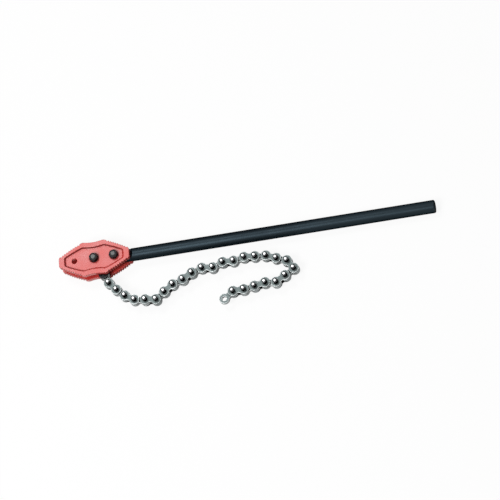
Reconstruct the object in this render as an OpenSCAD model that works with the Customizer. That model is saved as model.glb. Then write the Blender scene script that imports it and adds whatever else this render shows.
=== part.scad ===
// Chain pipe wrench with double-ended jaws, lying on its side.
// X runs along the handle towards its free end, Z is up through the jaw plates.
// The origin is on the axis of the free front hole, halfway between the plates.

/* [Jaw plates] */
// Length of a jaw plate
jaw_length = 166; // [120:1:240]
// Height of a jaw plate over its shoulders
jaw_height = 82; // [60:1:120]
// Height of the blunt ends
jaw_end_height = 23; // [16:1:40]
// Distance between the shoulders on one long side
shoulder_spacing = 48; // [30:1:80]
// Depth of the hollow between the shoulders
waist_dip = 3; // [1:0.5:8]
// Outward bow of each toothed edge
edge_bow = 2.2; // [0:0.1:5]
// Thickness of one plate
jaw_thickness = 11; // [8:0.5:16]
// Clear space between the two plates
jaw_gap = 19.6; // [14:0.2:30]
// Width of the raised rim along the long sides
rim_width = 10.7; // [5:0.1:14]
// Width of the raised rim at the blunt ends
rim_end_width = 12.5; // [6:0.5:18]
// Height of the rim above the sunken panel
rim_height = 3.2; // [0.5:0.1:5]
// Width of the sloping wall from the rim down to the panel
rim_slope = 4; // [1:0.5:5]
// Spacing of the three plate holes
hole_spacing = 47; // [35:1:60]
// Teeth on each sloping edge
tooth_count = 9; // [6:1:16]
// Depth of a tooth
tooth_depth = 3; // [1:0.1:4]

/* [Handle] */
// Diameter of the round bar
handle_d = 30; // [24:1:40]
// Distance from the jaw centre to the free end
handle_reach = 791; // [500:1:1200]
// Step from the bar down to the tongue between the plates
tongue_step = 0.7; // [0.3:0.1:2]
// Run-out of the tongue's flats past the jaw plates
flat_runout = 6; // [3:0.5:20]
// Distance from the pivot to the end of the thinned nose
nose_length = 30; // [22:1:36]
// Thickness of the thinned nose that the shackle straddles
nose_thickness = 8.4; // [6:0.2:12]
// Chamfer of the free end
handle_chamfer = 2; // [0.5:0.5:5]

/* [Bolts] */
// Thread diameter of both bolts
bolt_d = 12; // [8:1:15]
// Play of the bolts in the plate holes, on the diameter
hole_play = 1; // [0.2:0.1:2]
// Width across flats of heads and nuts
hex_width = 18; // [15:1:24]
// Height of a bolt head
head_height = 7.5; // [5:0.5:12]
// Height of a nut
nut_height = 8; // [6:0.5:14]
// Length of thread past the nut
thread_end = 2; // [1:0.5:6]
// Thickness of a split washer
washer_thickness = 2.5; // [1.5:0.1:4]
// Outside diameter of a split washer
washer_d = 20.5; // [17:0.5:26]
// Wall of the pivot bush
bush_wall = 3; // [1.5:0.25:4.5]

/* [Chain] */
// Distance between neighbouring pins
chain_pitch = 25.4; // [19:0.1:32]
// Gap between the round ends of neighbouring links
link_gap = 1.8; // [1:0.1:4]
// Thickness of one link plate
plate_thickness = 4.2; // [3:0.1:6]
// Width of a link plate at its waist
waist_width = 13.6; // [10:0.1:16]
// Radius of the hollow on each side of a link plate
waist_radius = 9; // [7.5:0.5:14]
// Diameter of the chain pins
pin_d = 10.5; // [8:0.1:12]
// Length of the chain pins
pin_length = 40; // [30:0.5:41]
// Rise of the domed pin ends
pin_dome = 1; // [0.5:0.1:3]
// Distance from the pivot bolt to the shackle pin
shackle_length = 42; // [38:0.5:60]
// Width of the shackle plates between their ends
shackle_width = 18; // [14:0.5:22]
// Wall of the shackle plates round the bush
shackle_wall = 6; // [4:0.5:8]

/* [Hidden] */
$fn = 96;
// Direction of the shackle as the chain lies, in degrees from X
shackle_heading = -66;
// Direction of each link in turn, from the shackle to the free eye
link_heading = [
    -65, -49, -43, -32, -8, -8, 37, 34, 19,
    29, 18, -7, 21, -3, 12, -5, -6, -23,
    -22, -55, -147, -150, -187, -170, -171, -179, -147
];
link_count = len(link_heading);
outer_count = floor(link_count / 2);
inner_count = link_count - outer_count;

// Gap between faces that slide past each other
side_play = 0.3;
// Radial play of a pin in the plates that turn on it
turn_play = 0.08;
// Radial play of a part that is fixed in its hole
seat_play = 0.02;
// Radial play of a bolt in the bush, the handle and the washers
bolt_play = 0.15;
// Gap between the two plates of an inner link
plate_split = 0.1;
// Gap between the jaw plates and the shoulder of the handle
shoulder_gap = 1.5;
// Length of the round corners of a jaw plate
corner_round = 5;
// Share of a sloping edge at which the round corners at its two ends meet it
corner_span = [0.10, 0.95];
// Share of a sloping edge at which its teeth start and stop
tooth_span = [0.12, 0.93];
// Points along a round corner, and along half of a hollow long side
corner_steps = 5;
waist_steps = 6;
// How far the panel's corners lie past those of the plate, as a share of the rim beside them
panel_shift = [0.14, 0.12];
// Straight stretches that a side of the panel is drawn with
panel_steps = 3;
// How far a round shoulder stands past its corner
shoulder_crown = [0.5, 0.7];
// Chamfer on the thread ends
thread_chamfer = 1.5;
// How much narrower the round face of a hexagon is than its flats, on the radius
hex_face_inset = 0.4;
// Width of the slit in a split washer, and its lean
washer_slit = 1.6;
washer_lean = 25;
// How far the washers and the nuts are turned, first on the pivot bolt and then on the clamp bolt
washer_turn = [200, 320];
nut_turn = [12, 40];
// Overlap of joined shapes and of tools that cut through a face
cut = 1;

hole_d = bolt_d + hole_play;
bush_d = bolt_d + 2 * bush_wall;
shackle_eye_d = bush_d + 2 * shackle_wall;
lobe_d = chain_pitch - link_gap;
bar_r = handle_d / 2;
tongue_r = bar_r - tongue_step;
shoulder_start = jaw_length / 2 + shoulder_gap;
jaw_centre = hole_spacing;
rear_bolt = 2 * hole_spacing;
gap_half = jaw_gap / 2;
face_half = gap_half + jaw_thickness;
panel_half = face_half - rim_height;
bolt_tip = panel_half + washer_thickness + nut_height + thread_end;
inner_half = plate_thickness + plate_split / 2;
outer_low = inner_half + side_play;
outer_high = outer_low + plate_thickness;
shackle_low = max(nose_thickness / 2, inner_half) + side_play;
shackle_high = gap_half - side_play;
steel = [0.62, 0.63, 0.64];
dark_steel = [0.25, 0.26, 0.27];
red = [0.80, 0.25, 0.23];
black = [0.08, 0.09, 0.10];

function pad(i) = str(i < 10 ? "0" : "", i);
function unit(a) = [cos(a), sin(a)];
// Point on a quadratic curve from a to c, pulled towards b
function curve(a, b, c, t) = (1 - t) * (1 - t) * a + 2 * t * (1 - t) * b + t * t * c;
function backwards(v) = [for (i = [len(v) - 1 : -1 : 0]) v[i]];
function flip(v, fx, fy) = [for (p = v) [fx * p[0], fy * p[1]]];

// Point on the sloping edge, from the shoulder at 0 to the blunt end at 1
function slope_normal(a, b) = [a[1] - b[1], b[0] - a[0]] / norm(b - a);
function slope(a, b, bow, t) = a + t * (b - a) + 4 * bow * t * (1 - t) * slope_normal(a, b);
function tooth(a, b, bow, depth, t, k) =
    slope(a, b, bow, t) - (k % 2 == 1 ? depth : 0) * slope_normal(a, b);

// One quarter of a plate outline, from the middle of the long side to the end
function quarter(shoulder, tip, dip, bow, teeth, depth) =
    let (
        waist_x = shoulder[0] - corner_round,
        waist_y = shoulder[1] - dip * (1 - pow(waist_x / shoulder[0], 2)),
        slope_start = slope(shoulder, tip, bow, corner_span[0]),
        slope_stop = slope(shoulder, tip, bow, corner_span[1]),
        tooth_step = (tooth_span[1] - tooth_span[0]) / (2 * teeth)
    )
    concat(
        [for (i = [0 : waist_steps])
            let (x = waist_x * i / waist_steps)
            [x, shoulder[1] - dip * (1 - pow(x / shoulder[0], 2))]],
        [for (i = [1 : corner_steps])
            curve([waist_x, waist_y], shoulder + shoulder_crown, slope_start, i / corner_steps)],
        [for (k = [0 : 2 * teeth])
            tooth(shoulder, tip, bow, depth, tooth_span[0] + k * tooth_step, k)],
        [for (i = [1 : corner_steps])
            curve(slope_stop, tip, tip - [0, corner_round], i / corner_steps)]
    );

// Whole outline, from one quarter reflected in both axes
function outline(q) = concat(
    backwards(q),
    [for (i = [1 : len(q) - 1]) [-q[i][0], q[i][1]]],
    backwards(flip(q, -1, -1)),
    [for (i = [1 : len(q) - 1]) [q[i][0], -q[i][1]]]
);

jaw_shoulder = [shoulder_spacing / 2, jaw_height / 2];
jaw_tip = [jaw_length / 2, jaw_end_height / 2];
panel_shoulder = jaw_shoulder + [panel_shift[0], -1] * rim_width;
panel_tip = jaw_tip - [1, panel_shift[1]] * rim_end_width;
jaw_outline = outline(quarter(jaw_shoulder, jaw_tip, waist_dip, edge_bow, tooth_count, tooth_depth));
panel_outline = outline(quarter(panel_shoulder, panel_tip, waist_dip, edge_bow / 2, panel_steps, 0));
// The foot of the sloping wall is the panel outline drawn in by the slope on every side
panel_draw = [1 - rim_slope / panel_tip[0], 1 - rim_slope / panel_shoulder[1]];

// Where each chain pin stands. Pin 0 is the shackle pin and the last one is the free eye.
function pin_at(k) = k == 0
    ? [jaw_centre, 0] + shackle_length * unit(shackle_heading)
    : pin_at(k - 1) + chain_pitch * unit(link_heading[k - 1]);

// An upright slab between two heights
module slab(low, high) {
    translate([0, 0, low])
        linear_extrude(high - low)
            children();
}

// Toothed plate with its outside up: a raised rim round a sunken panel, and three holes
module jaw_plate() {
    difference() {
        slab(gap_half, face_half)
            polygon(jaw_outline);
        translate([0, 0, face_half])
            mirror([0, 0, 1])
                linear_extrude(rim_height, scale = panel_draw, slices = 1, segments = 0)
                    polygon(panel_outline);
        for (i = [-1 : 1])
            translate([i * hole_spacing, 0, gap_half - cut])
                cylinder(d = hole_d, h = jaw_thickness + 2 * cut);
    }
}

module upper_jaw() {
    color(red)
        translate([jaw_centre, 0, 0])
            jaw_plate();
}

module lower_jaw() {
    color(red)
        translate([jaw_centre, 0, 0])
            mirror([0, 0, 1])
                jaw_plate();
}

// Round bar turned down and flattened between the plates, thinned round the pivot
module handle() {
    color(black)
        difference() {
            translate([jaw_centre, 0, 0])
                union() {
                    intersection() {
                        rotate([0, 90, 0])
                            rotate_extrude()
                                polygon([
                                    [0, nose_length],
                                    [tongue_r, nose_length],
                                    [tongue_r, shoulder_start],
                                    [bar_r, shoulder_start + tongue_step],
                                    [bar_r, handle_reach - handle_chamfer],
                                    [bar_r - handle_chamfer, handle_reach],
                                    [0, handle_reach]
                                ]);
                        rotate([90, 0, 0])
                            slab(-handle_d, handle_d)
                                polygon([
                                    [0, -gap_half],
                                    [shoulder_start, -gap_half],
                                    [shoulder_start + flat_runout, -bar_r - cut],
                                    [handle_reach + cut, -bar_r - cut],
                                    [handle_reach + cut, bar_r + cut],
                                    [shoulder_start + flat_runout, bar_r + cut],
                                    [shoulder_start, gap_half],
                                    [0, gap_half]
                                ]);
                    }
                    slab(-nose_thickness / 2, nose_thickness / 2)
                        translate([0, -tongue_r + cut])
                            square([nose_length + cut, 2 * tongue_r - 2 * cut]);
                    translate([0, 0, -nose_thickness / 2])
                        cylinder(r = tongue_r, h = nose_thickness);
                }
            translate([jaw_centre, 0, -face_half])
                cylinder(r = bush_d / 2 + seat_play, h = 2 * face_half);
            translate([rear_bolt, 0, -face_half])
                cylinder(r = bolt_d / 2 + bolt_play, h = 2 * face_half);
        }
}

// Hexagon with its corners turned off at the top, and at the bottom for a nut
module hexagon(height, both_ends) {
    corner_r = hex_width / 2 / cos(30);
    face_r = hex_width / 2 - hex_face_inset;
    bevel = (corner_r + cut - face_r) * tan(30);
    intersection() {
        rotate(30)
            cylinder(r = corner_r, h = height, $fn = 6);
        rotate_extrude()
            polygon(concat(
                [[0, 0]],
                both_ends ? [[face_r, 0], [corner_r + cut, bevel]] : [[corner_r + cut, 0]],
                [[corner_r + cut, height - bevel], [face_r, height], [0, height]]
            ));
    }
}

// Hexagon bolt put in from below, with its thread end above the nut
module bolt(x) {
    shank = bolt_tip + panel_half;
    color(dark_steel)
        translate([x, 0, -panel_half])
            union() {
                mirror([0, 0, 1])
                    hexagon(head_height, false);
                translate([0, 0, -cut])
                    rotate_extrude()
                        polygon([
                            [0, 0],
                            [bolt_d / 2, 0],
                            [bolt_d / 2, shank + cut - thread_chamfer],
                            [bolt_d / 2 - thread_chamfer, shank + cut],
                            [0, shank + cut]
                        ]);
            }
}

module pivot_bolt() {
    bolt(jaw_centre);
}

module clamp_bolt() {
    bolt(rear_bolt);
}

// Split spring washer under the nut
module lock_washer(x, turn) {
    slit_reach = 4 * washer_thickness;
    color(dark_steel)
        translate([x, 0, panel_half])
            rotate(turn)
                difference() {
                    cylinder(d = washer_d, h = washer_thickness);
                    translate([0, 0, -cut])
                        cylinder(r = bolt_d / 2 + bolt_play, h = washer_thickness + 2 * cut);
                    rotate([washer_lean, 0, 0])
                        translate([0, -washer_slit / 2, -slit_reach])
                            cube([washer_d, washer_slit, 2 * slit_reach]);
                }
}

module pivot_washer() {
    lock_washer(jaw_centre, washer_turn[0]);
}

module clamp_washer() {
    lock_washer(rear_bolt, washer_turn[1]);
}

module nut(x, turn) {
    color(dark_steel)
        translate([x, 0, panel_half + washer_thickness])
            rotate(turn)
                difference() {
                    hexagon(nut_height, true);
                    translate([0, 0, -cut])
                        cylinder(r = bolt_d / 2 + seat_play, h = nut_height + 2 * cut);
                }
}

module pivot_nut() {
    nut(jaw_centre, nut_turn[0]);
}

module clamp_nut() {
    nut(rear_bolt, nut_turn[1]);
}

// Sleeve on the pivot bolt that keeps the plates apart and carries the shackle
module pivot_bush() {
    color(steel)
        translate([jaw_centre, 0, -gap_half])
            difference() {
                cylinder(d = bush_d, h = jaw_gap);
                translate([0, 0, -cut])
                    cylinder(r = bolt_d / 2 + bolt_play, h = jaw_gap + 2 * cut);
            }
}

// Two side plates that hang on the bush
module shackle_plates() {
    thickness = shackle_high - shackle_low;
    color(steel)
        translate([jaw_centre, 0, 0])
            rotate(shackle_heading)
                for (low = [shackle_low, -shackle_high])
                    translate([0, 0, low])
                        difference() {
                            union() {
                                cylinder(d = shackle_eye_d, h = thickness);
                                translate([shackle_length, 0, 0])
                                    cylinder(d = lobe_d, h = thickness);
                                translate([0, -shackle_width / 2, 0])
                                    cube([shackle_length, shackle_width, thickness]);
                            }
                            translate([0, 0, -cut])
                                cylinder(r = bush_d / 2 + turn_play, h = thickness + 2 * cut);
                            translate([shackle_length, 0, -cut])
                                cylinder(r = pin_d / 2 + seat_play, h = thickness + 2 * cut);
                        }
}

// A round pin with domed ends
module pin(k, length) {
    r = pin_d / 2;
    dome_r = (r * r + pin_dome * pin_dome) / (2 * pin_dome);
    reach = asin(r / dome_r);
    steps = 5;
    dome = [for (i = [0 : steps])
        let (a = reach * (1 - i / steps))
        [dome_r * sin(a), length / 2 - dome_r * (1 - cos(a))]];
    translate([pin_at(k)[0], pin_at(k)[1], 0])
        rotate_extrude()
            polygon(concat(dome, backwards(flip(dome, 1, -1))));
}

// Short pin, flush with the shackle so that it passes between the jaws
module shackle_pin() {
    color(dark_steel)
        pin(0, 2 * shackle_high);
}

// One waisted link plate from the pin at k, with holes for the pins
module link_plate(k, low, play) {
    band = (lobe_d + waist_width) / 2;
    translate([pin_at(k)[0], pin_at(k)[1], low])
        rotate(link_heading[k])
            difference() {
                union() {
                    difference() {
                        translate([0, -band / 2, 0])
                            cube([chain_pitch, band, plate_thickness]);
                        for (side = [-1, 1])
                            translate([chain_pitch / 2, side * (waist_width / 2 + waist_radius), -cut])
                                cylinder(r = waist_radius, h = plate_thickness + 2 * cut);
                    }
                    for (x = [0, chain_pitch])
                        translate([x, 0, 0])
                            cylinder(d = lobe_d, h = plate_thickness);
                }
                for (x = [0, chain_pitch])
                    translate([x, 0, -cut])
                        cylinder(r = pin_d / 2 + play, h = plate_thickness + 2 * cut);
            }
}

// Inner link i: two plates side by side that turn on the pins at both ends
module inner_plates(i) {
    color(steel)
        for (low = [plate_split / 2, -inner_half])
            link_plate(2 * i - 2, low, turn_play);
}

// Outer link i: a plate on each side, with its two pins pressed in
module outer_plates(i) {
    color(steel)
        for (low = [outer_low, -outer_high])
            link_plate(2 * i - 1, low, seat_play);
}

module outer_pins(i) {
    color(dark_steel)
        for (k = [2 * i - 1, 2 * i])
            pin(k, pin_length);
}

upper_jaw();
lower_jaw();
handle();
pivot_bolt();
clamp_bolt();
pivot_washer();
clamp_washer();
pivot_nut();
clamp_nut();
pivot_bush();
shackle_plates();
shackle_pin();
for (i = [1 : inner_count])
    inner_plates(i);
for (i = [1 : outer_count])
    outer_plates(i);
for (i = [1 : outer_count])
    outer_pins(i);
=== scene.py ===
"""Looks of the chain pipe wrench: paint, steel, soft edges, floor, light and camera."""
import math

import bpy
from mathutils import Matrix, Vector


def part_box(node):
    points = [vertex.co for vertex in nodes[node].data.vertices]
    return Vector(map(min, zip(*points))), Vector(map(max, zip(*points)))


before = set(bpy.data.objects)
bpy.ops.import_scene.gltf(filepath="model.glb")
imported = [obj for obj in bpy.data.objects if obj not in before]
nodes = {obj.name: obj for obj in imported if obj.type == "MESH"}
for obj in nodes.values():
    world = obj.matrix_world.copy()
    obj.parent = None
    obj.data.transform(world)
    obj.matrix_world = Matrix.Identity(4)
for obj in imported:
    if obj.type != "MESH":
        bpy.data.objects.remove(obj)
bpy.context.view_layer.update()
scene = bpy.context.scene
scene.view_settings.view_transform = "Standard"

# Camera at the photo's viewing angle, in metres and degrees, with its sensor in millimetres
VIEW_TARGET = Vector((0.40704, -0.03379, 0.0))
VIEW_AZIMUTH = 27.428
VIEW_ELEVATION = 66.109
VIEW_ROLL = -34.442
VIEW_DISTANCE = 7.4026
FOCAL_PIXELS = 3269.4
PHOTO_PIXELS = 500
SENSOR_WIDTH = 36.0
CLIP_END = 50.0


def camera_axes():
    """Right, up and back directions of the photo's camera."""
    azimuth = math.radians(VIEW_AZIMUTH)
    elevation = math.radians(VIEW_ELEVATION)
    roll = math.radians(VIEW_ROLL)
    level = Vector((math.cos(azimuth), math.sin(azimuth), 0.0))
    outward = Vector((math.sin(azimuth), -math.cos(azimuth), 0.0))
    back = outward * math.cos(elevation) + Vector((0.0, 0.0, math.sin(elevation)))
    rise = back.cross(level)
    right = level * math.cos(roll) + rise * math.sin(roll)
    up = rise * math.cos(roll) - level * math.sin(roll)
    return right, up, back


def facing(place, right, up, back):
    """Matrix that stands at place with the given axes."""
    turn = Matrix((right, up, back)).transposed().to_4x4()
    return Matrix.Translation(place) @ turn


RIGHT, UP, BACK = camera_axes()


def add_camera():
    data = bpy.data.cameras.new("photo_camera")
    data.sensor_fit = "HORIZONTAL"
    data.sensor_width = SENSOR_WIDTH
    data.lens = FOCAL_PIXELS / PHOTO_PIXELS * SENSOR_WIDTH
    data.clip_end = CLIP_END
    camera = bpy.data.objects.new("photo_camera", data)
    scene.collection.objects.link(camera)
    camera.matrix_world = facing(VIEW_TARGET + BACK * VIEW_DISTANCE, RIGHT, UP, BACK)
    scene.camera = camera


# Material helpers

# Most noise lies between these two values
NOISE_LOW = 0.30
NOISE_HIGH = 0.70

# Light that reaches an open face, as a share of all light
OPEN_LIGHT = 0.95
HOLLOW_RAYS = 8

# How far the limit for chips falls on a worn face, and how soft a chip's border is
CHIP_FALL = 0.22
CHIP_BORDER = 0.04

BUMP_STRENGTH = 0.6
NO_TINT = (0.0, 0.0, 0.0)


class Paint:
    """A node material under construction."""

    def __init__(self, name):
        self.material = bpy.data.materials.new(name)
        self.material.use_nodes = True
        self.tree = self.material.node_tree
        self.shader = self.tree.nodes["Principled BSDF"]
        self.place = self.add("ShaderNodeTexCoord").outputs["Object"]

    def add(self, kind, **inputs):
        node = self.tree.nodes.new(kind)
        for name, value in inputs.items():
            self.feed(node.inputs[name], value)
        return node

    def feed(self, socket, value):
        """Links an output to a socket, or sets the socket to a plain value."""
        if isinstance(value, bpy.types.NodeSocket):
            self.tree.links.new(value, socket)
        elif isinstance(value, tuple) and len(value) == 3 and socket.type == "RGBA":
            socket.default_value = (*value, 1.0)
        else:
            socket.default_value = value

    def set(self, name, value):
        self.feed(self.shader.inputs[name], value)

    def coordinate(self, axis):
        """X, Y or Z of a point of the piece at rest."""
        return self.add("ShaderNodeSeparateXYZ", Vector=self.place).outputs[axis]

    def rise(self):
        """How far up a face looks: 1 on top, 0 where it is upright and -1 underneath."""
        normal = self.add("ShaderNodeNewGeometry").outputs["True Normal"]
        return self.add("ShaderNodeSeparateXYZ", Vector=normal).outputs["Z"]

    def math(self, operation, a, b=0.0):
        node = self.add("ShaderNodeMath")
        node.operation = operation
        self.feed(node.inputs[0], a)
        self.feed(node.inputs[1], b)
        return node.outputs[0]

    def times(self, a, b):
        return self.math("MULTIPLY", a, b)

    def larger(self, a, b):
        return self.math("MAXIMUM", a, b)

    def spread(self, value, start, stop, low=0.0, high=1.0):
        """Takes value from the span start to stop onto the span low to high."""
        node = self.add("ShaderNodeMapRange", Value=value)
        for name, number in (("From Min", start), ("From Max", stop), ("To Min", low), ("To Max", high)):
            node.inputs[name].default_value = number
        return node.outputs["Result"]

    def noise(self, scale, detail=4.0, rough=0.55, stretch=None):
        """Noise that sits still on the piece, drawn out along an axis if stretch is given."""
        vector = self.place
        if stretch:
            vector = self.add("ShaderNodeMapping", Vector=vector, Scale=stretch).outputs["Vector"]
        node = self.add("ShaderNodeTexNoise", Vector=vector, Scale=scale, Detail=detail, Roughness=rough)
        return node.outputs["Fac"]

    def vary(self, noise, low, high):
        """A number that goes from low to high with the noise."""
        return self.spread(noise, NOISE_LOW, NOISE_HIGH, low, high)

    def chips(self, specks, worn, limit):
        """1 where specks pass the limit, which falls as worn goes from 0 to 1, and 0 elsewhere."""
        lowered = limit - CHIP_FALL * worn
        return self.spread(specks, lowered, lowered + CHIP_BORDER)

    def hollows(self, distance, deep=0.35):
        """1 in corners and gaps that let in no more light than deep, 0 on open faces."""
        node = self.add("ShaderNodeAmbientOcclusion", Distance=distance)
        node.samples = HOLLOW_RAYS
        return self.spread(node.outputs["AO"], OPEN_LIGHT, deep)

    def ramp(self, value, stops):
        """Colour over a value. stops are pairs of position and colour."""
        node = self.add("ShaderNodeValToRGB", Fac=value)
        elements = node.color_ramp.elements
        while len(elements) < len(stops):
            elements.new(0.5)
        for element, (position, colour) in zip(elements, stops):
            element.position = position
            element.color = (*colour, 1.0)
        return node.outputs["Color"]

    def mix(self, share, a, b):
        """Colour a, with a share of colour b."""
        node = self.add("ShaderNodeMix")
        node.data_type = "RGBA"
        self.feed(node.inputs[0], share)
        # The node's colour sockets come after those for numbers and vectors.
        self.feed(node.inputs[6], a)
        self.feed(node.inputs[7], b)
        return node.outputs[2]

    def relief(self, *layers):
        """Bump from several heights, each a pair of value and depth in metres."""
        normal = None
        for value, depth in layers:
            node = self.add("ShaderNodeBump", Height=value, Distance=depth, Strength=BUMP_STRENGTH)
            if normal:
                self.feed(node.inputs["Normal"], normal)
            normal = node.outputs["Normal"]
        self.set("Normal", normal)


# Masks: where on a piece its finish changes, in metres

JAW_CENTRE = (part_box("upper_jaw")[0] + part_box("upper_jaw")[1]) / 2

# Teeth: their line on a jaw plate, the slope of the edge and the width of the change
TOOTH_LINE = 0.0490
TOOTH_SLOPE = 0.5
TOOTH_BORDER = 0.0030

# How far up a face looks, where a mask starts and where it is full
STEEP = (0.5, 0.2)
NOT_UPRIGHT = (0.3, 0.5)
NOT_FLAT = (0.97, 0.90)

# Width of the change between the halves of a jaw plate, to each side of its middle
HALVES_BORDER = 0.005

# How far from the middle of a link its waist reaches, and the width of the change
WAIST_REACH = 0.0135
WAIST_BORDER = 0.003

# How far from the chain's middle plane a face that looks at it is taken as inside
INSIDE_HEIGHT = 0.001

# Painted shade in the recess: how the line between dark and light leans, its span and the least share
RECESS_SHADE_LEAN = 0.3
RECESS_SHADE_SPAN = (-0.002, 0.030)
RECESS_SHADE_LEAST = 0.35

# Height of the pins' ends, and how far down from it they are painted bright, as ground steel and partly
# a painted highlight
PIN_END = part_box("outer_pins_01")[1].z
PIN_GROUND = 0.0004


def from_middle(paint):
    """How far a point of a jaw plate lies to the rear of the plate's middle."""
    return paint.math("SUBTRACT", paint.coordinate("X"), JAW_CENTRE.x)


def tooth_zone(paint):
    """1 on the teeth of the sloping edges, 0 on the rest of a jaw plate."""
    along = paint.math("ABSOLUTE", from_middle(paint))
    across = paint.math("ABSOLUTE", paint.coordinate("Y"))
    reach = paint.math("ADD", across, paint.times(along, TOOTH_SLOPE))
    return paint.spread(reach, TOOTH_LINE, TOOTH_LINE + TOOTH_BORDER)


def sloping(paint):
    """1 on faces that lean, such as the wall of a recess, and 0 on flat and upright ones."""
    rise = paint.math("ABSOLUTE", paint.rise())
    return paint.times(paint.spread(rise, *NOT_UPRIGHT), paint.spread(rise, *NOT_FLAT))


def upright(paint):
    """1 on faces that stand upright, 0 on flat ones."""
    return paint.spread(paint.math("ABSOLUTE", paint.rise()), *STEEP)


def rearward(paint):
    """1 on the rear half of a jaw plate, 0 on the front half."""
    return paint.spread(from_middle(paint), -HALVES_BORDER, HALVES_BORDER)


def recess_shading(paint):
    """How dark the painted shade in the recess is: 1 towards the front and +Y, less towards the rear and
    -Y.
    """
    lean = paint.times(from_middle(paint), RECESS_SHADE_LEAN)
    line = paint.math("SUBTRACT", lean, paint.coordinate("Y"))
    return paint.spread(line, *RECESS_SHADE_SPAN, 1.0, RECESS_SHADE_LEAST)


def link_waist(paint):
    """1 near the middle of a chain link, which its object keeps as its middle, and 0 round its pins."""
    middle = paint.add("ShaderNodeAttribute")
    middle.attribute_type = "OBJECT"
    middle.attribute_name = "middle"
    reach = paint.add("ShaderNodeVectorMath")
    reach.operation = "DISTANCE"
    paint.feed(reach.inputs[0], paint.place)
    paint.feed(reach.inputs[1], middle.outputs["Vector"])
    return paint.spread(reach.outputs["Value"], WAIST_REACH + WAIST_BORDER, WAIST_REACH)


def inward(paint):
    """1 on faces of the chain that look at its middle plane, 0 on the others."""
    return paint.spread(paint.times(paint.rise(), paint.coordinate("Z")), 0.0, -INSIDE_HEIGHT)


def pin_ends(paint):
    """1 on the bright ends of a pin, ground steel and partly a painted highlight, 0 on the rest of it.
    """
    height = paint.math("ABSOLUTE", paint.coordinate("Z"))
    return paint.spread(height, PIN_END - PIN_GROUND, PIN_END - PIN_GROUND / 2)


# Red enamel of the jaws: colours, shares from 0 to 1, and distances in metres
ENAMEL_STOPS = [(0.30, (0.52, 0.034, 0.029)), (0.52, (0.58, 0.046, 0.038)), (0.72, (0.63, 0.062, 0.050))]
# Paler red: a painted light on the front walls, and paint worn thin with a painted highlight on the
# front edges
ENAMEL_RUBBED_AND_LIT = (0.80, 0.32, 0.29)
# Dark red of soiling and painted shade in corners, and of painted shade on the rear walls and along the
# recess
ENAMEL_DIRT_AND_SHADE = (0.14, 0.003, 0.003)
ENAMEL_CHIP = (0.17, 0.155, 0.135)
ENAMEL_CHIP_LIMIT = 0.72
ENAMEL_ROUGHNESS = (0.31, 0.40)
ENAMEL_SPECULAR = 0.64
TOOTH_WEAR = 0.05
# Reach and share of the darkening in corners, soiling and painted shade
CORNER_REACH = 0.006
CORNER_DIRT_AND_SHADE = 0.5
# Reach and depth of the painted shade at the foot of the recess
RECESS_REACH = 0.004
RECESS_DEEP = 0.80
# Share of painted shade on the rear walls, and how dull they are
REAR_WALL_SHADE = 0.4
REAR_WALL_DULL = 0.9
# Share of painted light on the front walls
FRONT_WALL_LIGHT = 0.2
FORGED_DEPTH = 0.00035
ENAMEL_DEPTH = 0.00006


def jaw_paint(name, worn, recess_shade, rubbed_and_lit):
    """Satin red enamel on a forged skin.

    From 0 to 1, worn is how much bare steel shows, the second number how dark the painted shade
    along the recess is, and the third how pale the front half is painted, as paint worn thin and a
    painted highlight. Corners are darkened as soiling and painted shade, the rear walls carry painted
    shade and the front walls painted light.
    """
    paint = Paint(name)
    patches = paint.noise(scale=26.0, detail=5.0)
    specks = paint.noise(scale=240.0, detail=6.0, rough=0.7)
    forged = paint.noise(scale=70.0, detail=3.0)
    grain = paint.noise(scale=520.0, detail=2.0)
    wall = upright(paint)
    rear = rearward(paint)
    front = paint.math("SUBTRACT", 1.0, rear)
    rear_wall = paint.times(wall, rear)
    # Front walls painted paler as painted light; front edges paler as paint worn thin and a painted
    # highlight
    pale = paint.times(front, paint.larger(paint.times(wall, FRONT_WALL_LIGHT), rubbed_and_lit))
    # Darkening in corners by occlusion, as soiling and painted shade
    dirt_and_shade = paint.times(paint.hollows(CORNER_REACH), CORNER_DIRT_AND_SHADE)
    # Rear walls darkened: painted shade
    dirt_and_shade = paint.larger(dirt_and_shade, paint.times(rear_wall, REAR_WALL_SHADE))
    # Painted shade along the recess, darker towards the front and +Y
    if recess_shade:
        foot = paint.math("SUBTRACT", paint.hollows(RECESS_REACH, RECESS_DEEP), tooth_zone(paint))
        recess = paint.times(paint.larger(sloping(paint), foot), recess_shading(paint))
        dirt_and_shade = paint.larger(dirt_and_shade, paint.times(recess, recess_shade))
    tooth_wear = paint.times(tooth_zone(paint), TOOTH_WEAR)
    chips = paint.chips(paint.math("ADD", specks, tooth_wear), worn, ENAMEL_CHIP_LIMIT)
    red = paint.mix(pale, paint.ramp(patches, ENAMEL_STOPS), ENAMEL_RUBBED_AND_LIT)
    paint.set("Base Color", paint.mix(chips, paint.mix(dirt_and_shade, red, ENAMEL_DIRT_AND_SHADE), ENAMEL_CHIP))
    paint.set("Metallic", chips)
    dull = paint.larger(dirt_and_shade, paint.times(rear_wall, REAR_WALL_DULL))
    paint.set("Roughness", paint.larger(paint.vary(patches, *ENAMEL_ROUGHNESS), dull))
    paint.set("Specular IOR Level", ENAMEL_SPECULAR)
    paint.relief((forged, FORGED_DEPTH), (grain, ENAMEL_DEPTH))
    return paint.material


# Blue-black oxide of the handle
OXIDE_STOPS = [(NOISE_LOW, (0.012, 0.017, 0.021)), (NOISE_HIGH, (0.019, 0.028, 0.034))]
OXIDE_CHIP = (0.22, 0.22, 0.22)
OXIDE_CHIP_LIMIT = 0.74
OXIDE_ROUGHNESS = (0.38, 0.46)
ALONG_BAR = (0.05, 1.0, 1.0)
STREAK_DEPTH = 0.00010
OXIDE_DEPTH = 0.00004


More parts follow.
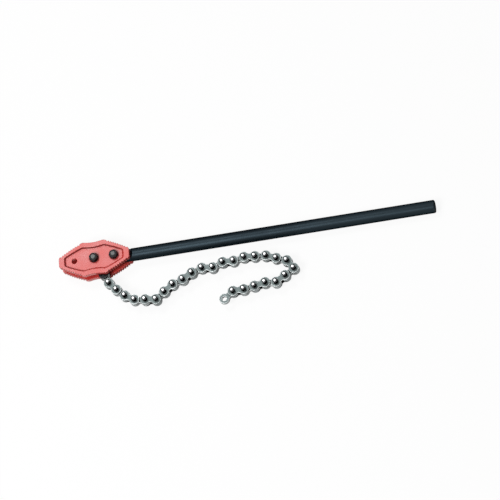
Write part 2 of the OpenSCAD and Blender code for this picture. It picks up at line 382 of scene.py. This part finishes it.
def handle_finish(name, worn):
    """Oiled oxide with faint marks along the bar. worn is how much bare steel shows, from 0 to 1."""
    paint = Paint(name)
    patches = paint.noise(scale=30.0, detail=5.0)
    streaks = paint.noise(scale=60.0, detail=4.0, rough=0.6, stretch=ALONG_BAR)
    specks = paint.noise(scale=200.0, detail=6.0, rough=0.7)
    grain = paint.noise(scale=700.0, detail=2.0)
    chips = paint.chips(specks, worn, OXIDE_CHIP_LIMIT)
    paint.set("Base Color", paint.mix(chips, paint.ramp(streaks, OXIDE_STOPS), OXIDE_CHIP))
    paint.set("Metallic", 1.0)
    paint.set("Specular Tint", NO_TINT)
    paint.set("Roughness", paint.vary(patches, *OXIDE_ROUGHNESS))
    paint.relief((streaks, STREAK_DEPTH), (grain, OXIDE_DEPTH))
    return paint.material


# Steels: dark and light colour, least and most roughness, and how dark the corners are painted, as
# grease and painted shade, from 0 to 1
CHAIN_STEEL = ((0.064, 0.078, 0.078), (0.128, 0.152, 0.151), 0.40, 0.52, 0.9)
# The links' edges: worn steel, and partly a painted highlight
CHAIN_EDGES_WORN_AND_HIGHLIT = ((0.44, 0.47, 0.47), (0.66, 0.69, 0.69), 0.32, 0.42, 0.8)
# Pins: a near-black body, a painted shade, with lighter edges
PIN_STEEL_AND_SHADE = ((0.006, 0.006, 0.007), (0.016, 0.016, 0.017), 0.28, 0.38, 1.0)
PIN_EDGES = ((0.14, 0.145, 0.15), (0.24, 0.245, 0.25), 0.28, 0.38, 0.5)
BOLT_STEEL = ((0.055, 0.058, 0.058), (0.095, 0.098, 0.098), 0.40, 0.52, 0.8)
BOLT_EDGES = ((0.09, 0.092, 0.092), (0.16, 0.162, 0.162), 0.36, 0.46, 0.4)
# Near-black oxide: the nuts' own colour, and a painted shade on the shackle
NUT_OXIDE_AND_SHACKLE_SHADE = ((0.009, 0.009, 0.010), (0.018, 0.018, 0.019), 0.36, 0.48, 0.8)
NUT_EDGES = ((0.030, 0.030, 0.032), (0.060, 0.060, 0.062), 0.34, 0.44, 0.4)
BUSH_STEEL = ((0.30, 0.305, 0.31), (0.42, 0.425, 0.43), 0.28, 0.38, 0.7)
BUSH_EDGES = ((0.38, 0.385, 0.39), (0.50, 0.505, 0.51), 0.28, 0.38, 0.4)
# Bright pin ends: ground steel, and partly a painted highlight
GROUND_END_AND_HIGHLIGHT = (0.66, 0.665, 0.67)
# Near black: grease and painted shade in corners, and painted shade at a link's waist
GREASE_AND_SHADE = (0.005, 0.005, 0.004)
GREASE_REACH = 0.004
ROLLED_DEPTH = 0.00008
STEEL_DEPTH = 0.00003


def bare_steel(name, steel, ends=False, waist=False):
    """Bare or oxidised steel, darkened in its corners as grease and painted shade.

    With ends, a pin's ends are painted bright, as ground steel and partly a painted highlight.
    With waist, a link's flanks and inside are painted black near its middle, a painted shade.
    """
    dark, light, smooth, rough, corner_darkening = steel
    paint = Paint(name)
    patches = paint.noise(scale=110.0, detail=6.0, rough=0.6)
    rolled = paint.noise(scale=420.0, detail=3.0)
    grain = paint.noise(scale=1400.0, detail=2.0)
    colour = paint.ramp(patches, [(NOISE_LOW, dark), (NOISE_HIGH, light)])
    if ends:
        # Bright pin ends: ground steel, and partly a painted highlight
        colour = paint.mix(pin_ends(paint), colour, GROUND_END_AND_HIGHLIGHT)
        # With no edge tint the pin's near-black body, a painted shade, stays dark at its edges too
        paint.set("Specular Tint", NO_TINT)
    # Darkening in corners by occlusion: grease and painted shade
    dirt_and_shade = paint.times(paint.hollows(GREASE_REACH), corner_darkening)
    # A link's flanks and inside near its middle painted black: painted shade
    if waist:
        flank = paint.larger(upright(paint), inward(paint))
        dirt_and_shade = paint.larger(dirt_and_shade, paint.times(flank, link_waist(paint)))
    paint.set("Base Color", paint.mix(dirt_and_shade, colour, GREASE_AND_SHADE))
    paint.set("Metallic", 1.0)
    paint.set("Roughness", paint.vary(patches, smooth, rough))
    paint.relief((rolled, ROLLED_DEPTH), (grain, STEEL_DEPTH))
    return paint.material


# Soft edges on the CAD solids: widths in metres by kind of piece, and angles in degrees
EDGE_WIDTHS = {
    "jaw": 0.0007,
    "handle": 0.0008,
    "link": 0.0009,
    "shackle": 0.0008,
    "pin": 0.0004,
    "bolt": 0.0004,
    "nut": 0.0004,
    "bush": 0.0004,
}
EDGE_ANGLE = 30.0
JAW_EDGE_ANGLE = 24.0
SMOOTH_ANGLE = 50.0
FLAT_ANGLE = 0.6
SAME_POINT = 2e-6
EDGE_STEPS = 2
EDGE_SLOT = 1
LARGE_FACE_WEIGHT = 90


def geometry_group(name):
    """An empty geometry node group with its way in and its way out."""
    group = bpy.data.node_groups.new(name, "GeometryNodeTree")
    group.interface.new_socket("Geometry", in_out="INPUT", socket_type="NodeSocketGeometry")
    group.interface.new_socket("Geometry", in_out="OUTPUT", socket_type="NodeSocketGeometry")
    start = group.nodes.new("NodeGroupInput")
    end = group.nodes.new("NodeGroupOutput")
    return group, start.outputs[0], end.inputs[0]


def joined_group():
    """Joins the split corners of an imported solid and drops its stored normals."""
    group, start, end = geometry_group("joined_corners")
    clear = group.nodes.new("GeometryNodeRemoveAttribute")
    clear.inputs["Name"].default_value = "custom_normal"
    join = group.nodes.new("GeometryNodeMergeByDistance")
    join.inputs["Distance"].default_value = SAME_POINT
    group.links.new(start, clear.inputs["Geometry"])
    group.links.new(clear.outputs["Geometry"], join.inputs["Geometry"])
    group.links.new(join.outputs["Geometry"], end)
    return group


def smooth_group():
    """Smooth shading, except across sharp edges."""
    group, start, end = geometry_group("smooth_by_angle")
    faces = group.nodes.new("GeometryNodeSetShadeSmooth")
    edges = group.nodes.new("GeometryNodeSetShadeSmooth")
    edges.domain = "EDGE"
    angle = group.nodes.new("GeometryNodeInputMeshEdgeAngle")
    test = group.nodes.new("FunctionNodeCompare")
    test.operation = "LESS_EQUAL"
    test.inputs["B"].default_value = math.radians(SMOOTH_ANGLE)
    group.links.new(start, faces.inputs["Geometry"])
    group.links.new(faces.outputs["Geometry"], edges.inputs["Geometry"])
    group.links.new(angle.outputs["Unsigned Angle"], test.inputs["A"])
    group.links.new(test.outputs["Result"], edges.inputs["Shade Smooth"])
    group.links.new(edges.outputs["Geometry"], end)
    return group


JOINED = joined_group()
SMOOTH = smooth_group()


def soften(obj, width, angle):
    """Rounds the edges of a CAD solid that are sharper than angle, by modifiers alone.

    The new faces take the finish of the edges.
    """
    joined = obj.modifiers.new("joined", "NODES")
    joined.node_group = JOINED
    flat = obj.modifiers.new("flat_faces", "DECIMATE")
    flat.decimate_type = "DISSOLVE"
    flat.angle_limit = math.radians(FLAT_ANGLE)
    edge = obj.modifiers.new("soft_edges", "BEVEL")
    edge.width = width
    edge.segments = EDGE_STEPS
    edge.limit_method = "ANGLE"
    edge.angle_limit = math.radians(angle)
    edge.use_clamp_overlap = True
    edge.material = EDGE_SLOT
    shade = obj.modifiers.new("shade", "NODES")
    shade.node_group = SMOOTH
    even = obj.modifiers.new("even_normals", "WEIGHTED_NORMAL")
    even.keep_sharp = True
    even.weight = LARGE_FACE_WEIGHT


# Finish of each piece

def kind_of(name):
    """Kind of a node, which decides its finish and the width of its soft edges."""
    if name.endswith("_jaw"):
        return "jaw"
    if name == "handle":
        return "handle"
    if name.endswith("_pin") or "_pins_" in name:
        return "pin"
    if name == "shackle_plates":
        return "shackle"
    if "_plates" in name:
        return "link"
    if name == "pivot_bush":
        return "bush"
    if name.endswith("_bolt"):
        return "bolt"
    return "nut"


def make_finishes():
    """Finish of the faces and finish of the edges for each kind of node."""
    jaw_face = jaw_paint("jaw_paint", worn=0.1, recess_shade=0.95, rubbed_and_lit=0.0)
    jaw_edge = jaw_paint("jaw_paint_edges", worn=0.62, recess_shade=0.0, rubbed_and_lit=0.10)
    bar_face = handle_finish("handle_oxide", worn=0.0)
    bar_edge = handle_finish("handle_oxide_edges", worn=0.8)
    link_face = bare_steel("chain_steel", CHAIN_STEEL, waist=True)
    link_edge = bare_steel("chain_steel_edges", CHAIN_EDGES_WORN_AND_HIGHLIT, waist=True)
    pin_face = bare_steel("pin_steel", PIN_STEEL_AND_SHADE, ends=True)
    pin_edge = bare_steel("pin_steel_edges", PIN_EDGES, ends=True)
    bolt_face = bare_steel("bolt_steel", BOLT_STEEL)
    bolt_edge = bare_steel("bolt_steel_edges", BOLT_EDGES)
    nut_face = bare_steel("nut_oxide", NUT_OXIDE_AND_SHACKLE_SHADE)
    nut_edge = bare_steel("nut_oxide_edges", NUT_EDGES)
    bush_face = bare_steel("bush_steel", BUSH_STEEL)
    bush_edge = bare_steel("bush_steel_edges", BUSH_EDGES)
    return {
        "jaw": (jaw_face, jaw_edge),
        "handle": (bar_face, bar_edge),
        "link": (link_face, link_edge),
        # The shackle takes the nuts' near-black finish as a painted shade, under the upper jaw
        "shackle": (nut_face, nut_edge),
        "pin": (pin_face, pin_edge),
        "bolt": (bolt_face, bolt_edge),
        "nut": (nut_face, nut_edge),
        "bush": (bush_face, bush_edge),
    }


def dress():
    """Gives every CAD node its finishes and soft edges. A link also keeps its middle, for its waist."""
    finishes = make_finishes()
    for name, obj in nodes.items():
        kind = kind_of(name)
        obj.data.materials.clear()
        for finish in finishes[kind]:
            obj.data.materials.append(finish)
        if kind == "link":
            low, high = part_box(name)
            obj["middle"] = list((low + high) / 2)
        soften(obj, EDGE_WIDTHS[kind], JAW_EDGE_ANGLE if kind == "jaw" else EDGE_ANGLE)


# Floor: half its side in metres, its own light as a share of white, and its greys
FLOOR_HALF = 8.0
FLOOR_GLOW = 0.9
FLOOR_WHITE = 0.97
FLOOR_BOUNCE = 0.75

# Pieces that reach at least this far behind the clamp bolt can carry the tool's rear
BEHIND_BOLT = 0.02

# Softboxes, in metres and watts. The jaws' flat tops mirror the upper one to the camera,
# and the bar mirrors the left one.
UPPER_LIGHT = {
    "direction": Vector((-BACK.x, -BACK.y, BACK.z)),
    "distance": 3.2,
    "side": 0.95,
    "watts": 31.0,
}
LEFT_LIGHT = {
    "direction": Vector((-0.30, -0.42, 0.86)).normalized(),
    "distance": 5.0,
    "side": 2.0,
    "watts": 165.0,
}

# Light from all round, as a share of white
FILL_STRENGTH = 0.18


def grey(level):
    return (level, level, level, 1.0)


def resting_plane():
    """Height at x = 0 and slope of the floor that the tool lies on.

    The floor carries the clamp bolt's head and the first piece that it meets behind that.
    """
    low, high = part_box("clamp_bolt")
    boxes = [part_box(name) for name in nodes]
    slope = min(
        (box_low.z - low.z) / (box_high.x - high.x)
        for box_low, box_high in boxes
        if box_high.x > high.x + BEHIND_BOLT
    )
    return low.z - slope * high.x, slope


def seen_rays(tree):
    """1 for what the camera sees, straight or mirrored or through glass, and 0 for bounced light."""
    path = tree.nodes.new("ShaderNodeLightPath")
    total = path.outputs["Is Camera Ray"]
    for name in ("Is Glossy Ray", "Is Transmission Ray"):
        step = tree.nodes.new("ShaderNodeMath")
        step.operation = "ADD"
        step.use_clamp = True
        tree.links.new(total, step.inputs[0])
        tree.links.new(path.outputs[name], step.inputs[1])
        total = step.outputs[0]
    return total


def floor_material():
    """White for the camera and for mirrors, with a pale shadow, and greyer for bounced light."""
    material = bpy.data.materials.new("floor_white")
    material.use_nodes = True
    tree = material.node_tree
    tree.nodes.clear()
    glow = tree.nodes.new("ShaderNodeEmission")
    white = tree.nodes.new("ShaderNodeBsdfDiffuse")
    bounce = tree.nodes.new("ShaderNodeBsdfDiffuse")
    bright = tree.nodes.new("ShaderNodeMixShader")
    both = tree.nodes.new("ShaderNodeMixShader")
    out = tree.nodes.new("ShaderNodeOutputMaterial")
    glow.inputs["Color"].default_value = grey(1.0)
    white.inputs["Color"].default_value = grey(FLOOR_WHITE)
    bounce.inputs["Color"].default_value = grey(FLOOR_BOUNCE)
    bright.inputs["Fac"].default_value = FLOOR_GLOW
    tree.links.new(white.outputs[0], bright.inputs[1])
    tree.links.new(glow.outputs[0], bright.inputs[2])
    tree.links.new(seen_rays(tree), both.inputs["Fac"])
    tree.links.new(bounce.outputs[0], both.inputs[1])
    tree.links.new(bright.outputs[0], both.inputs[2])
    tree.links.new(both.outputs[0], out.inputs["Surface"])
    return material


def add_floor():
    level, slope = resting_plane()
    sides = ((-1, -1), (1, -1), (1, 1), (-1, 1))
    corners = [(x * FLOOR_HALF, y * FLOOR_HALF, level + slope * x * FLOOR_HALF) for x, y in sides]
    mesh = bpy.data.meshes.new("floor")
    mesh.from_pydata(corners, [], [(0, 1, 2, 3)])
    mesh.materials.append(floor_material())
    floor = bpy.data.objects.new("floor", mesh)
    scene.collection.objects.link(floor)


def add_softbox(name, direction, distance, side, watts):
    """Square light in the given direction from the jaws, facing them."""
    data = bpy.data.lights.new(name, "AREA")
    data.shape = "SQUARE"
    data.size = side
    data.energy = watts
    light = bpy.data.objects.new(name, data)
    scene.collection.objects.link(light)
    right = Vector((0, 0, 1)).cross(direction).normalized()
    up = direction.cross(right)
    light.matrix_world = facing(JAW_CENTRE + direction * distance, right, up, direction)


def add_world():
    """Weak light from all round. The camera and mirrors see white."""
    world = bpy.data.worlds.new("studio")
    scene.world = world
    world.use_nodes = True
    tree = world.node_tree
    fill = tree.nodes["Background"]
    white = tree.nodes.new("ShaderNodeBackground")
    fill.inputs["Color"].default_value = grey(1.0)
    fill.inputs["Strength"].default_value = FILL_STRENGTH
    white.inputs["Color"].default_value = grey(1.0)
    white.inputs["Strength"].default_value = 1.0
    both = tree.nodes.new("ShaderNodeMixShader")
    tree.links.new(seen_rays(tree), both.inputs["Fac"])
    tree.links.new(fill.outputs[0], both.inputs[1])
    tree.links.new(white.outputs[0], both.inputs[2])
    tree.links.new(both.outputs[0], tree.nodes["World Output"].inputs["Surface"])


add_camera()
dress()
add_floor()
add_world()
add_softbox("upper_light", **UPPER_LIGHT)
add_softbox("left_light", **LEFT_LIGHT)
